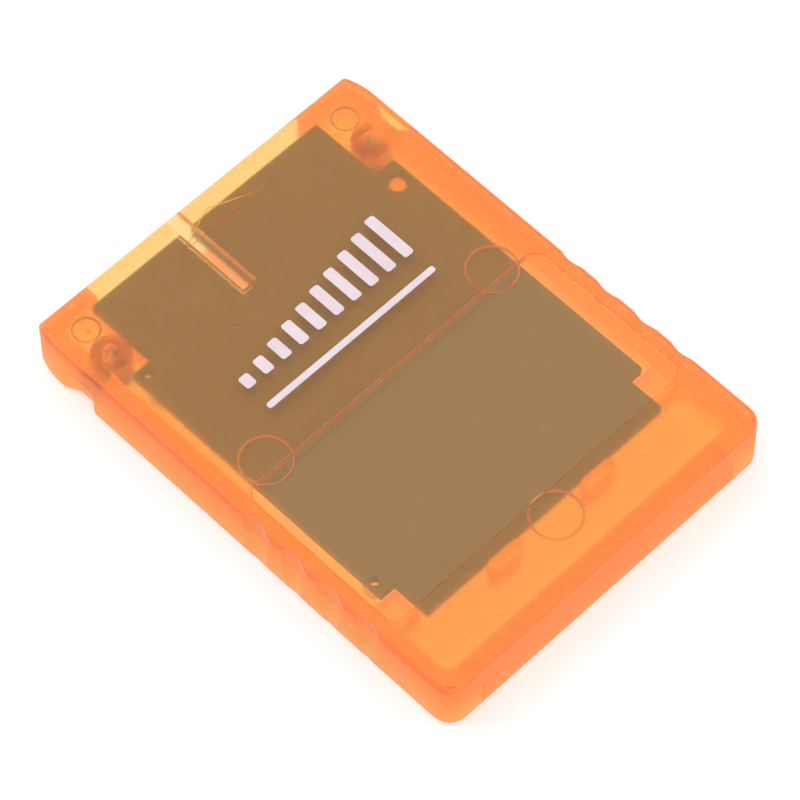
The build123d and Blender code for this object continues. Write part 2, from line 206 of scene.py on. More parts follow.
class Effect(Enum):
    """Node groups that several materials share, by their names."""

    MOULDED_GRAIN = "moulded_grain"
    TONE_DRIFT = "tone_drift"
    TINNED_ENDS = "tinned_ends"

    def group(self) -> bpy.types.NodeTree:
        """Return the effect's node group, built on its first use.

        Returns:
            The node group.
        """
        found = bpy.data.node_groups.get(self.value)
        if found is None:
            found = bpy.data.node_groups.new(self.value, "ShaderNodeTree")
            getattr(self, "_" + self.value)(found)
        return found

    @staticmethod
    def _ends(
        group: bpy.types.NodeTree, inputs: dict[str, str], outputs: dict[str, str]
    ) -> tuple[Tree, bpy.types.Node, bpy.types.Node]:
        """Declare a group's sockets.

        Args:
            group: The group.
            inputs: Kind of each input by name.
            outputs: Kind of each output by name.

        Returns:
            The group's tree, its input node and its output node.
        """
        for side, sockets in (("INPUT", inputs), ("OUTPUT", outputs)):
            for name, kind in sockets.items():
                group.interface.new_socket(name, in_out=side, socket_type="NodeSocket" + kind)
        start = group.nodes.new("NodeGroupInput")
        end = group.nodes.new("NodeGroupOutput")
        return Tree(group), start, end

    def _moulded_grain(self, group: bpy.types.NodeTree) -> None:
        """Fill the grain of a moulded skin: roughness between two values and a bump height."""
        inputs = {"Coordinates": "Vector", "Size": "Float", "Smooth": "Float", "Rough": "Float"}
        tree, start, end = self._ends(group, inputs, {"Roughness": "Float", "Height": "Float"})
        fine = tree.noise(start.outputs["Coordinates"], start.outputs["Size"], detail=2.0)
        broad = tree.noise(start.outputs["Coordinates"], GRAIN_PATCH, detail=1.0)
        share = tree.ramp(tree.blend(fine, broad, GRAIN_WEIGHT), *GRAIN_RANGE, 0.0, 1.0)
        spread = tree.math("SUBTRACT", start.outputs["Rough"], start.outputs["Smooth"])
        rough = tree.math("ADD", start.outputs["Smooth"], tree.math("MULTIPLY", share, spread))
        tree.link(rough, end.inputs["Roughness"])
        tree.link(fine, end.inputs["Height"])

    def _tone_drift(self, group: bpy.types.NodeTree) -> None:
        """Fill a colour that drifts between two tones, broad patches with fine specks on them."""
        inputs = {"Coordinates": "Vector", "Size": "Float", "Tone": "Color", "Other Tone": "Color"}
        tree, start, end = self._ends(group, inputs, {"Color": "Color", "Share": "Float"})
        broad = tree.noise(start.outputs["Coordinates"], start.outputs["Size"], detail=3.0)
        speck_size = tree.math("MULTIPLY", start.outputs["Size"], SPECK_SHARE)
        speck = tree.noise(start.outputs["Coordinates"], speck_size, detail=1.0)
        share = tree.ramp(tree.blend(broad, speck, DRIFT_WEIGHT), *DRIFT_RANGE, 0.0, 1.0)
        tree.link(tree.mix(share, start.outputs["Tone"], start.outputs["Other Tone"]), end.inputs["Color"])
        tree.link(share, end.inputs["Share"])

    def _tinned_ends(self, group: bpy.types.NodeTree) -> None:
        """Fill a mask that is 1 on both ends of a small part that lies along X."""
        inputs = {"Coordinates": "Vector", "Middle": "Float", "Bare Half": "Float"}
        tree, start, end = self._ends(group, inputs, {"Mask": "Float"})
        across = tree.axes(start.outputs["Coordinates"])[0]
        reach = tree.math("ABSOLUTE", tree.math("SUBTRACT", across, start.outputs["Middle"]))
        tree.link(tree.math("GREATER_THAN", reach, start.outputs["Bare Half"]), end.inputs["Mask"])


class Surface:
    """One material with its Principled shader, its Object coordinates and its output."""

    def __init__(self, name: str) -> None:
        """Make an empty material of that name."""
        self.material = bpy.data.materials.new(name)
        self.material.use_nodes = True
        self.material.node_tree.nodes.clear()
        self.tree = Tree(self.material.node_tree)
        self.shader = self.tree.add("BsdfPrincipled")
        self.output = self.tree.add("OutputMaterial")
        self.tree.link(self.shader.outputs[0], self.output.inputs["Surface"])
        self.coordinates = self.tree.add("TexCoord").outputs["Object"]

    def set(self, **values: object) -> None:
        """Set or link the shader's inputs.

        Args:
            values: Socket or plain value by the input's name, with underscores for spaces.
        """
        for name, value in values.items():
            self.tree.feed(self.shader.inputs[name.replace("_", " ")], value)

    def effect(self, effect: Effect, **values: object) -> bpy.types.Node:
        """Place a shared effect with its own values.

        Args:
            effect: The effect.
            values: Socket or plain value by the input's name, with underscores for spaces.

        Returns:
            The group's node.
        """
        node = self.tree.add("Group", node_tree=effect.group())
        self.tree.link(self.coordinates, node.inputs["Coordinates"])
        for name, value in values.items():
            self.tree.feed(node.inputs[name.replace("_", " ")], value)
        return node

    def drift(self, size: float, tone: Color, other_tone: Color) -> bpy.types.Node:
        """Place the drift between two tones.

        Args:
            size: Size of the patches in millimetres.
            tone: One tone.
            other_tone: The other tone.

        Returns:
            The group's node.
        """
        return self.effect(Effect.TONE_DRIFT, Size=size, Tone=(*tone, 1.0), Other_Tone=(*other_tone, 1.0))

    def bump(self, height: bpy.types.NodeSocket, depth: float) -> None:
        """Bump the shader's normal.

        Args:
            height: Socket with a height from 0 to 1.
            depth: Depth of the bump in millimetres.
        """
        node = self.tree.add("Bump")
        node.inputs["Distance"].default_value = depth * MM
        self.tree.link(height, node.inputs["Height"])
        self.tree.link(node.outputs[0], self.shader.inputs["Normal"])


@dataclass(frozen=True)
class Box:
    """A box that picks out part of a surface, by its lowest and highest corner in millimetres."""

    low: Point
    high: Point

    def mask(self, tree: Tree, coordinates: bpy.types.NodeSocket) -> bpy.types.NodeSocket:
        """Tell whether a point lies in the box: along each axis it is less than half a side from the middle.

        Args:
            tree: Tree of the material.
            coordinates: Socket with the position in metres.

        Returns:
            Socket that is 1 in the box and 0 elsewhere.
        """
        low, high = np.array(self.low) * MM, np.array(self.high) * MM
        offset = tree.add("VectorMath", operation="SUBTRACT")
        offset.inputs[1].default_value = (low + high) / 2
        scaled = tree.add("VectorMath", operation="DIVIDE")
        scaled.inputs[1].default_value = (high - low) / 2
        reach = tree.add("VectorMath", operation="ABSOLUTE")
        tree.link(coordinates, offset.inputs[0])
        tree.link(offset.outputs[0], scaled.inputs[0])
        tree.link(scaled.outputs[0], reach.inputs[0])
        x, y, z = tree.axes(reach.outputs[0])
        return tree.math("LESS_THAN", tree.math("MAXIMUM", tree.math("MAXIMUM", x, y), z), 1.0)


@dataclass(frozen=True)
class FrostedPlastic(ABC):
    """Translucent plastic with a fine frosted skin, smoother on the top face and smoothest inside.

    The colour comes from light that is scattered at the skin and absorbed on its way through the walls, with
    a painted glow added: a weak emission stands in for light scattered inside the walls, brighter on the
    outer side faces.
    """

    name: str
    tint: Color
    transmission: float
    inside_roughness: float
    kept: Color = (0.998, 0.8, 0.35)
    density: float = 500.0
    ior: float = 1.49
    # The glow colours and glow strength are a painted glow: emission that stands in for light scattered
    # inside the walls, brighter and redder on the outer side faces.
    glow: Color = (0.4, 0.18, 0.05)
    painted_side_glow: Color = (1.0, 0.25, 0.14)
    glow_strength: float = 0.1
    within_sides: Box = Box((-20.4, -27.4, -1.0), (20.4, 27.4, 7.0))
    smooth: float = 0.55
    rough: float = 0.75
    grain: float = 0.3
    top: Box = Box((-21.0, -28.0, 5.8), (21.0, 28.0, 6.6))
    top_roughness: float = 0.3
    recess: Box = Box((-19.3, -18.9, 6.2), (19.3, 0.75, 6.49))
    recess_roughness: float = 0.1
    inside: Box = Box((-18.8, -25.6, 0.3), (18.8, 26.7, 4.95))
    ceiling: Box = Box((-18.8, -25.6, 4.95), (18.8, 28.1, 6.2))
    ceiling_roughness: float = 0.06

    @abstractmethod
    def tone(self, made: Surface, grain: bpy.types.NodeSocket) -> bpy.types.NodeSocket:
        """Colour of the skin, which each cover mixes in its own way.

        Args:
            made: The material.
            grain: Height of the grain, 0 where the skin has none.

        Returns:
            Socket with the colour.
        """

    def surface(self) -> bpy.types.Material:
        """Build the material.

        Returns:
            The material.
        """
        made = Surface(self.name)
        tree = made.tree
        grain = made.effect(Effect.MOULDED_GRAIN, Size=self.grain, Smooth=self.smooth, Rough=self.rough)
        rough = grain.outputs["Roughness"]
        skin = 1.0
        for box, roughness in (
            (self.top, self.top_roughness),
            (self.recess, self.recess_roughness),
            (self.inside, self.inside_roughness),
            (self.ceiling, self.ceiling_roughness),
        ):
            held = box.mask(tree, made.coordinates)
            rest = tree.math("SUBTRACT", 1.0, held)
            outside = tree.math("MULTIPLY", rough, rest)
            rough = tree.math("ADD", outside, tree.math("MULTIPLY", held, roughness))
            if box is not self.top:
                skin = tree.math("MULTIPLY", skin, rest)
        height = tree.math("MULTIPLY", grain.outputs["Height"], skin)
        within = self.within_sides.mask(tree, made.coordinates)
        made.set(
            Base_Color=self.tone(made, height),
            Roughness=rough,
            IOR=self.ior,
            # Painted glow: emission standing in for light scattered inside the walls, with the side glow on
            # the outer side faces.
            Transmission_Weight=self.transmission,
            Emission_Color=tree.mix(within, self.painted_side_glow, self.glow),
            Emission_Strength=self.glow_strength,
        )
        volume = tree.add("VolumeAbsorption")
        volume.inputs["Color"].default_value = (*self.kept, 1.0)
        volume.inputs["Density"].default_value = self.density
        tree.link(volume.outputs[0], made.output.inputs["Volume"])
        return made.material


@dataclass(frozen=True)
class FrostedLid(FrostedPlastic):
    """The top cover's plastic: paler in the recess, with painted glints on its grain, and painted shade on
    slopes and along both long rims.
    """

    recess_tint: Color = (1.0, 0.855, 0.6)
    # Lighter specks on the grain are painted glints, standing in for the sparkle of the frosted skin.
    painted_glint_tone: Color = (1.0, 0.9, 0.6)
    glint_low: float = 0.5
    glint_high: float = 0.72
    # The slope colour is painted shade: a deeper orange on the sloped faces, standing in for the darker light
    # they refract.
    slope_shade: Color = (1.0, 0.36, 0.05)
    slopes: Box = Box((-20.3, -27.3, 6.405), (20.3, 27.3, 6.495))
    # The rim colour is painted shade: a deeper orange along the long top edges, standing in for the darker
    # look of the thick edge.
    rim_shade: Color = (1.0, 0.5, 0.1)
    rim: Box = Box((-21.5, -28.5, 5.7), (21.5, 28.5, 6.6))
    within_rim: Box = Box((-20.45, -29.0, 0.0), (20.45, 29.0, 7.0))

    def tone(self, made: Surface, grain: bpy.types.NodeSocket) -> bpy.types.NodeSocket:
        """Colour of the skin from its grain and from where the point lies.

        Args:
            made: The material.
            grain: Height of the grain, 0 where the skin has none.

        Returns:
            Socket with the colour.
        """
        tree = made.tree
        # Painted glints: where the grain is high, the skin turns to the lighter glint tone.
        specks = tree.ramp(grain, self.glint_low, self.glint_high, 0.0, 1.0)
        tone = tree.mix(specks, self.tint, self.painted_glint_tone)
        tone = tree.mix(self.recess.mask(tree, made.coordinates), tone, self.recess_tint)
        # Painted shade: the sloped faces take the deeper slope colour.
        tone = tree.mix(self.slopes.mask(tree, made.coordinates), tone, self.slope_shade)
        # Painted shade along the long rims, outside the middle box.
        outside = tree.math("SUBTRACT", 1.0, self.within_rim.mask(tree, made.coordinates))
        edge = tree.math("MULTIPLY", self.rim.mask(tree, made.coordinates), outside)
        return tree.mix(edge, tone, self.rim_shade)


@dataclass(frozen=True)
class FrostedBase(FrostedPlastic):
    """The bottom cover's plastic: a painted light makes the board stops paler, and a painted shade makes the
    floor behind the board deeper.
    """

    # The stop colour is painted light: it makes the tops of the board stops look lit and glowing.
    painted_stop_light: Color = (1.0, 0.95, 0.6)
    stops: Box = Box((-8.4, -21.2, 3.6), (8.4, -19.6, 4.9))
    shade_tint: Color = (1.0, 0.5, 0.2)
    shade: Box = Box((-17.0, -25.4, 0.9), (17.0, -12.0, 1.3))
    shade_end: float = -25.0
    shade_start: float = -21.0

    def tone(self, made: Surface, grain: bpy.types.NodeSocket) -> bpy.types.NodeSocket:
        """Colour of the skin from where the point lies.

        Args:
            made: The material.
            grain: Height of the grain, which this colour doesn't follow.

        Returns:
            Socket with the colour.
        """
        tree = made.tree
        along = tree.axes(made.coordinates)[1]
        near = tree.ramp(along, self.shade_end * MM, self.shade_start * MM, 0.0, 1.0)
        near = tree.math("MULTIPLY", near, self.shade.mask(tree, made.coordinates))
        tone = tree.mix(near, self.tint, self.shade_tint)
        # Painted light on the board stops.
        return tree.mix(self.stops.mask(tree, made.coordinates), tone, self.painted_stop_light)


@dataclass(frozen=True)
class BoardLaminate:
    """Matte solder mask over a woven laminate."""

    name: str = "board_laminate"
    tone: Color = (0.165, 0.22, 0.245)
    other_tone: Color = (0.205, 0.265, 0.29)
    patch: float = 7.0
    smooth: float = 0.42
    rough: float = 0.55
    weave: float = 0.55
    weave_depth: float = 0.006

    def surface(self) -> bpy.types.Material:
        """Build the material.

        Returns:
            The material.
        """
        made = Surface(self.name)
        drift = made.drift(self.patch, self.tone, self.other_tone)
        made.set(
            Base_Color=drift.outputs["Color"],
            Roughness=made.tree.ramp(drift.outputs["Share"], 0.0, 1.0, self.smooth, self.rough),
        )
        heights = []
        for direction in ("X", "Y"):
            wave = made.tree.add("TexWave", bands_direction=direction)
            made.tree.link(made.coordinates, wave.inputs["Vector"])
            wave.inputs["Scale"].default_value = 1 / (self.weave * MM) / WAVES_PER_SCALE
            heights.append(wave.outputs["Fac"])
        made.bump(made.tree.math("MULTIPLY", *heights), self.weave_depth)
        return made.material


@dataclass(frozen=True)
class PlatedMetal:
    """Plated metal with a fine grain and a drifting tone."""

    name: str
    tone: Color
    other_tone: Color
    roughness: float
    spread: float = 0.12
    patch: float = 1.6
    grain: float = 0.05
    depth: float = 0.002

    def surface(self) -> bpy.types.Material:
        """Build the material.

        Returns:
            The material.
        """
        made = Surface(self.name)
        drift = made.drift(self.patch, self.tone, self.other_tone)
        rough = self.roughness + self.spread
        grain = made.effect(Effect.MOULDED_GRAIN, Size=self.grain, Smooth=self.roughness, Rough=rough)
        made.set(Base_Color=drift.outputs["Color"], Metallic=1.0, Roughness=grain.outputs["Roughness"])
        made.bump(grain.outputs["Height"], self.depth)
        return made.material


@dataclass(frozen=True)
class ChipMoulding:
    """Matte black moulding compound with a grainy skin."""

    name: str = "chip_moulding"
    tone: Color = (0.022, 0.022, 0.025)
    other_tone: Color = (0.04, 0.04, 0.043)
    patch: float = 2.5
    grain: float = 0.09
    smooth: float = 0.5
    rough: float = 0.75
    depth: float = 0.012

    def surface(self) -> bpy.types.Material:
        """Build the material.

        Returns:
            The material.
        """
        made = Surface(self.name)
        drift = made.drift(self.patch, self.tone, self.other_tone)
        grain = made.effect(Effect.MOULDED_GRAIN, Size=self.grain, Smooth=self.smooth, Rough=self.rough)
        made.set(Base_Color=drift.outputs["Color"], Roughness=grain.outputs["Roughness"])
        made.bump(grain.outputs["Height"], self.depth)
        return made.material


@dataclass(frozen=True)
class SmallPartBody:
    """Ceramic body of a small part with tinned ends."""

    name: str
    tone: Color
    other_tone: Color
    side: Side
    middle: float = 8.0
    bare_half: float = 0.45
    patch: float = 0.8
    tin: Color = (0.75, 0.75, 0.73)
    body_roughness: float = 0.45
    tin_roughness: float = 0.28

    def surface(self) -> bpy.types.Material:
        """Build the material.

        Returns:
            The material.
        """
        made = Surface(self.name)
        drift = made.drift(self.patch, self.tone, self.other_tone)
        ends = made.effect(
            Effect.TINNED_ENDS, Middle=self.side.value * self.middle * MM, Bare_Half=self.bare_half * MM
        )
        mask = ends.outputs["Mask"]
        made.set(
            Base_Color=made.tree.mix(mask, drift.outputs["Color"], self.tin),
            Metallic=mask,
            Roughness=made.tree.ramp(mask, 0.0, 1.0, self.body_roughness, self.tin_roughness),
        )
        return made.material


@dataclass(frozen=True)
class MatteFilm:
    """Thin opaque film, or a small piece that paints light or shade, slightly uneven in tone."""

    name: str
    tone: Color
    other_tone: Color
    patch: float = 3.0
    grain: float = 0.12
    smooth: float = 0.4
    rough: float = 0.6
    depth: float = 0.003

    def surface(self) -> bpy.types.Material:
        """Build the material.

        Returns:
            The material.
        """
        made = Surface(self.name)
        drift = made.drift(self.patch, self.tone, self.other_tone)
        grain = made.effect(Effect.MOULDED_GRAIN, Size=self.grain, Smooth=self.smooth, Rough=self.rough)
        made.set(Base_Color=drift.outputs["Color"], Roughness=grain.outputs["Roughness"])
        made.bump(grain.outputs["Height"], self.depth)
        return made.material


def ring_mesh(name: str, stacks: list[np.ndarray], looped: bool = False) -> bpy.types.Object:
    """Make one object from stacks of closed rings.

    Each stack is a surface P(v, u): u runs round a ring and v from ring to ring. Quads join the rings.
    The last ring of a looped stack joins its first. Otherwise a fan to the mean point of the first and of
    the last ring closes both ends.

    Args:
        name: Name of the object and its mesh.
        stacks: Arrays of shape (rings, points round, 3) in millimetres, turning left round the way they go.
        looped: Whether each stack runs back into its own start.

    Returns:
        The object, at the origin, riding on nothing yet.
    """
    points: list[np.ndarray] = []
    faces: list[list[int]] = []
    start = 0
    for stack in stacks:
        rings, around = stack.shape[:2]
        index = start + np.arange(rings * around).reshape(rings, around)
        ahead = np.roll(index, -1, axis=1)
        corners = (index, ahead, np.roll(ahead, -1, axis=0), np.roll(index, -1, axis=0))
        quads = np.stack(corners, axis=-1)[: rings if looped else rings - 1]
        points.append(stack.reshape(-1, 3))
        faces += quads.reshape(-1, 4).tolist()
        start += rings * around
        if not looped:
            points += [stack[0].mean(axis=0)[None], stack[-1].mean(axis=0)[None]]
            pole = np.full(around, start)
            faces += np.stack((ahead[0], index[0], pole), axis=-1).tolist()
            faces += np.stack((index[-1], ahead[-1], pole + 1), axis=-1).tolist()
            start += 2
    mesh = bpy.data.meshes.new(name)
    mesh.from_pydata((np.concatenate(points) * MM).tolist(), [], faces)
    mesh.shade_smooth()
    mesh.set_sharp_from_angle(angle=SHARP_ANGLE)
    made = bpy.data.objects.new(name, mesh)
    bpy.context.scene.collection.objects.link(made)
    return made


@dataclass
class CaseScrews:
    """The two pan-head screws that hold the covers together, with their threads."""

    spread: float = 17.25
    place_y: float = 21.1
    head_low: float = 0.25
    head_high: float = 1.25
    head_radius: float = 1.6
    dome: float = 0.34
    recess_half: float = 0.9
    recess_arm: float = 0.22
    recess_depth: float = 0.5
    core_radius: float = 0.62
    crest_radius: float = 0.83
    pitch: float = 0.72
    tip_start: float = 4.75
    tip: float = 5.45
    recess_steps: Spot = (0.5, 0.85)
    lip: float = 0.03
    head_start: float = 0.04
    head_rings: int = 9
    neck: float = 0.1
    thread_start: float = 0.02
    thread_slope: float = 2.6
    thread_fade: float = 0.5
    tip_taper: float = 0.72
    tip_power: float = 1.5
    around: int = 72
    thread_rings: int = 130

    def recess_outline(self, angle: np.ndarray) -> np.ndarray:
        """Radius of a cross-shaped recess: a ray from the middle ends at an arm's end or an arm's side.

        Args:
            angle: Angles round the screw.

        Returns:
            The radius at each angle.
        """
        turned = np.abs(np.mod(angle + np.pi / 4, np.pi / 2) - np.pi / 4)
        side = self.recess_arm / np.maximum(np.sin(turned), TINY)
        return np.minimum(self.recess_half / np.cos(turned), side)

    def rings(self) -> np.ndarray:
        """Rings of one screw about its own axis, from the recess floor over the head and thread to the tip.

        The head blends from the cross outline to a circle and falls back with the fourth power of the radius.
        On the shank the radius is core + height * ridge(z / pitch - u / 2 pi), where ridge is a triangle wave
        that fades at both ends.

        Returns:
            Array of shape (rings, points round, 3) in millimetres.
        """
        angle = np.linspace(0, 2 * np.pi, self.around, endpoint=False)
        cross = self.recess_outline(angle)
        floor = self.head_low + self.recess_depth
        radii = [step * cross for step in self.recess_steps] + [cross]
        heights = [np.full_like(angle, floor)] * 2 + [np.full_like(angle, self.head_low + self.lip)]
        for share in np.linspace(self.head_start, 1.0, self.head_rings):
            radius = cross + (self.head_radius - cross) * share
            radii.append(radius)
            heights.append(self.head_low + self.dome * (radius / self.head_radius) ** 4)
        for radius in (self.head_radius, self.core_radius + self.neck):
            radii.append(np.full_like(angle, radius))
            heights.append(np.full_like(angle, self.head_high))
        level = np.linspace(self.head_high + self.thread_start, self.tip, self.thread_rings)[:, None]
        phase = np.mod(level / self.pitch - angle[None, :] / (2 * np.pi), 1.0)
        ridge = np.clip(1.0 - self.thread_slope * np.abs(phase - 0.5), 0.0, 1.0)
        fade = np.clip((level - self.head_high) / self.thread_fade, 0.0, 1.0)
        fade = fade * np.clip((self.tip - level) / self.thread_fade, 0.0, 1.0)
        share = np.clip((level - self.tip_start) / (self.tip - self.tip_start), 0.0, 1.0)
        taper = 1.0 - self.tip_taper * share**self.tip_power
        shank = (self.core_radius + (self.crest_radius - self.core_radius) * ridge * fade) * taper
        radius = np.concatenate((np.stack(radii), shank))
        height = np.concatenate((np.stack(heights), np.broadcast_to(level, shank.shape)))
        return np.stack((radius * np.cos(angle), radius * np.sin(angle), height), axis=-1)

    def build(self, finish: bpy.types.Material) -> bpy.types.Object:
        """Build both screws as one piece in place of the plain ones.

        Args:
            finish: Material of the screws.

        Returns:
            The piece.
        """
        one = self.rings()
        places = [np.array((side.value * self.spread, self.place_y, 0.0)) for side in Side]
        made = ring_mesh("threaded_case_screws", [one + place for place in places])
        made.data.materials.append(finish)
        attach(made, "root")
        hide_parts("case_screws")
        return made


@dataclass
class PrintedMarks:
    """Plain pad print on the top face: a row of rising bars over one long strip."""

    top: float = 6.5
    film: float = 0.02
    left: float = -11.2
    right: float = 10.8
    bars: int = 10
    bar_width: float = 1.2
    bar_base: float = 8.6
    lowest: float = 1.5
    highest: float = 5.8
    strip_low: float = 5.6
    strip_high: float = 6.3
    corner: float = 0.3
    edge: float = 0.03
    edge_rise: float = 0.7
    around: int = 48

    def pad(self, low: Spot, high: Spot) -> np.ndarray:
        """Rings of one film patch: a rounded rectangle at the face, up its edge and in over its top.

        A point of the outline is the nearest corner's centre plus the corner radius along the angle.

        Args:
            low: Lower left corner in the plane of the face.
            high: Upper right corner in the plane of the face.

        Returns:
            Array of shape (rings, points round, 3) in millimetres.
        """
        angle = np.linspace(0, 2 * np.pi, self.around, endpoint=False) + np.pi / self.around
        middle = (np.array(low) + np.array(high)) / 2
        reach = (np.array(high) - np.array(low)) / 2 - self.corner
        heading = np.stack((np.cos(angle), np.sin(angle)), axis=-1)
        centres = middle + np.sign(heading) * reach
        rings = [
            np.column_stack((centres + heading * (self.corner - inset), np.full(self.around, height)))
            for inset, height in (
                (0.0, self.top),
                (0.0, self.top + self.edge_rise * self.film),
                (self.edge, self.top + self.film),
            )
        ]
        return np.stack(rings)

    def build(self, finish: bpy.types.Material) -> bpy.types.Object:
        """Build the bars and the strip as one piece.

        Args:
            finish: Material of the ink.

        Returns:
            The piece.
        """
        starts = np.linspace(self.left, self.right - self.bar_width, self.bars)
        tops = self.bar_base + np.linspace(self.lowest, self.highest, self.bars)
        pads = [
            self.pad((start, self.bar_base), (start + self.bar_width, top))
            for start, top in zip(starts, tops)
        ]
        pads.append(self.pad((self.left, self.strip_low), (self.right, self.strip_high)))
        made = ring_mesh("printed_marks", pads)
        made.data.materials.append(finish)
        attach(made, "root")
        return made


@dataclass
class PaintedRingLines:
    """Thin beads round the ejector marks under the top wall that paint the light at the marks' slopes: light
    beads are painted highlight, dark beads painted shade.
    """

    name: str
    radius: float
    places: tuple[Spot, ...]
    thin: float
    thick: float
    level: float = 5.03
    heading: float = 0.9
    around: int = 10
    steps: int = 96

    def bead(self, place: Spot) -> np.ndarray:
        """Rings of one closed bead: a small circle carried round a large one.

        The small circle's radius swells from thin to thick with the square of the cosine of half the angle
        between the point and the heading, so one side of the bead is heavier.

        Args:
            place: Middle of the bead in the plane of the wall.

        Returns:
            Array of shape (rings, points round, 3) in millimetres.
        """
        turn = np.linspace(0, 2 * np.pi, self.steps, endpoint=False)[:, None]
        angle = np.linspace(0, 2 * np.pi, self.around, endpoint=False)[None, :]
        section = self.thin + (self.thick - self.thin) * np.cos((turn - self.heading) / 2) ** 2
        reach = self.radius + section * np.cos(angle)
        height = self.level - section * np.sin(angle)
        return np.stack((place[0] + reach * np.cos(turn), place[1] + reach * np.sin(turn), height), axis=-1)

    def build(self, finish: bpy.types.Material) -> bpy.types.Object:
        """Build all the beads as one piece.

        Args:
            Material of the painted lines.

        Returns:
            The piece.
        """
        made = ring_mesh(self.name, [self.bead(place) for place in self.places], looped=True)
        made.data.materials.append(finish)
        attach(made, "root")
        return made


@dataclass
class HighlightPip:
    """White dome in the middle of the left small mark: a painted highlight that stands in for a glint there.
    """

    place: Spot = (-17.15, 24.4)
    level: float = 5.12
    radius: float = 0.3
    drop: float = 0.22
    steep: float = 1.5
    around: int = 24
    rings: int = 7

    def build(self, finish: bpy.types.Material) -> bpy.types.Object:
        """Build the pip: a dome of height level - drop * sin(v) and radius times cos(v), flat on top.

        Args:
            finish: Material of the pip.

        Returns:
            The piece.
        """
        turn = np.linspace(0, 2 * np.pi, self.around, endpoint=False)[None, :]
        rise = np.linspace(self.steep, 0.0, self.rings)[:, None]
        reach = self.radius * np.cos(rise)
        height = np.broadcast_to(self.level - self.drop * np.sin(rise), (self.rings, self.around))
        x = self.place[0] + reach * np.cos(turn)
        y = self.place[1] + reach * np.sin(turn)
        made = ring_mesh("highlight_pip", [np.stack((x, y, height), axis=-1)])
        made.data.materials.append(finish)
        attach(made, "root")
        return made


@dataclass
class RecessEdge:
    """Two fine deep orange lines where the slope at the front of the recess begins and ends: painted shade
    that stands in for the darker look of the slope's edges.
    """

    half: float = 17.8
    high: Spot = (0.75, 6.49)
    low: Spot = (0.57, 6.32)
    radius: float = 0.05
    around: int = 10
    steps: int = 25

    def line(self, place: Spot) -> np.ndarray:
        """Rings of one line: a small circle carried straight across the card.

        Args:
            place: Distance along the card and height of the line.

        Returns:
            Array of shape (rings, points round, 3) in millimetres.
        """
        angle = np.linspace(0, 2 * np.pi, self.around, endpoint=False)[None, :]
        across = np.linspace(-self.half, self.half, self.steps)[:, None]
        along = place[0] + self.radius * np.cos(angle)
        height = place[1] + self.radius * np.sin(angle)
        return np.stack(np.broadcast_arrays(across, along, height), axis=-1)

    def build(self, finish: bpy.types.Material) -> bpy.types.Object:
        """Build both lines as one piece.

        Args:
            finish: Material of the lines.

        Returns:
            The piece.
        """
        made = ring_mesh("recess_edge", [self.line(self.high), self.line(self.low)])
        made.data.materials.append(finish)
        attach(made, "root")
        return made


@dataclass
class Card:
    """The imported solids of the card, each dressed in its finish."""

    contacts: int = 8
    capacitors: int = 5
    resistors: int = 4

    def dress(self) -> None:
        """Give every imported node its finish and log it."""
        gold = PlatedMetal("contact_plating", (0.83, 0.58, 0.2), (0.9, 0.68, 0.3), roughness=0.18).surface()
        tin = PlatedMetal("tinned_lead", (0.66, 0.66, 0.64), (0.78, 0.78, 0.76), roughness=0.28).surface()
        chip = ChipMoulding().surface()
        tan, pale_tan = (0.4, 0.27, 0.15), (0.48, 0.34, 0.2)
        black, grey = (0.02, 0.02, 0.025), (0.04, 0.04, 0.045)
        capacitor = SmallPartBody("capacitor_body", tan, pale_tan, Side.RIGHT).surface()
        resistor = SmallPartBody("resistor_body", black, grey, Side.LEFT).surface()
        lid = FrostedLid(
            "orange_plastic_top", tint=(1.0, 0.72, 0.31), transmission=0.95, inside_roughness=0.8
        )
        base = FrostedBase(
            "orange_plastic_bottom", tint=(1.0, 0.63, 0.26), transmission=1.0, inside_roughness=0.5
        )
        finishes = {
            "top_cover": lid.surface(),
            "bottom_cover": base.surface(),
            "circuit_board": BoardLaminate().surface(),
            "flash_memory_chip": chip,
            "controller_chip": chip,
            "flash_memory_leads": tin,
            "controller_leads": tin,
        }
        finishes |= {f"contact_{number}": gold for number in range(1, self.contacts + 1)}
        finishes |= {f"capacitor_{number}": capacitor for number in range(1, self.capacitors + 1)}
        finishes |= {f"resistor_{number}": resistor for number in range(1, self.resistors + 1)}
        for node, finish in finishes.items():
            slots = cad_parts[node].data.materials
            slots.clear()
            slots.append(finish)
            log.info("dressed %s in %s", node, finish.name)


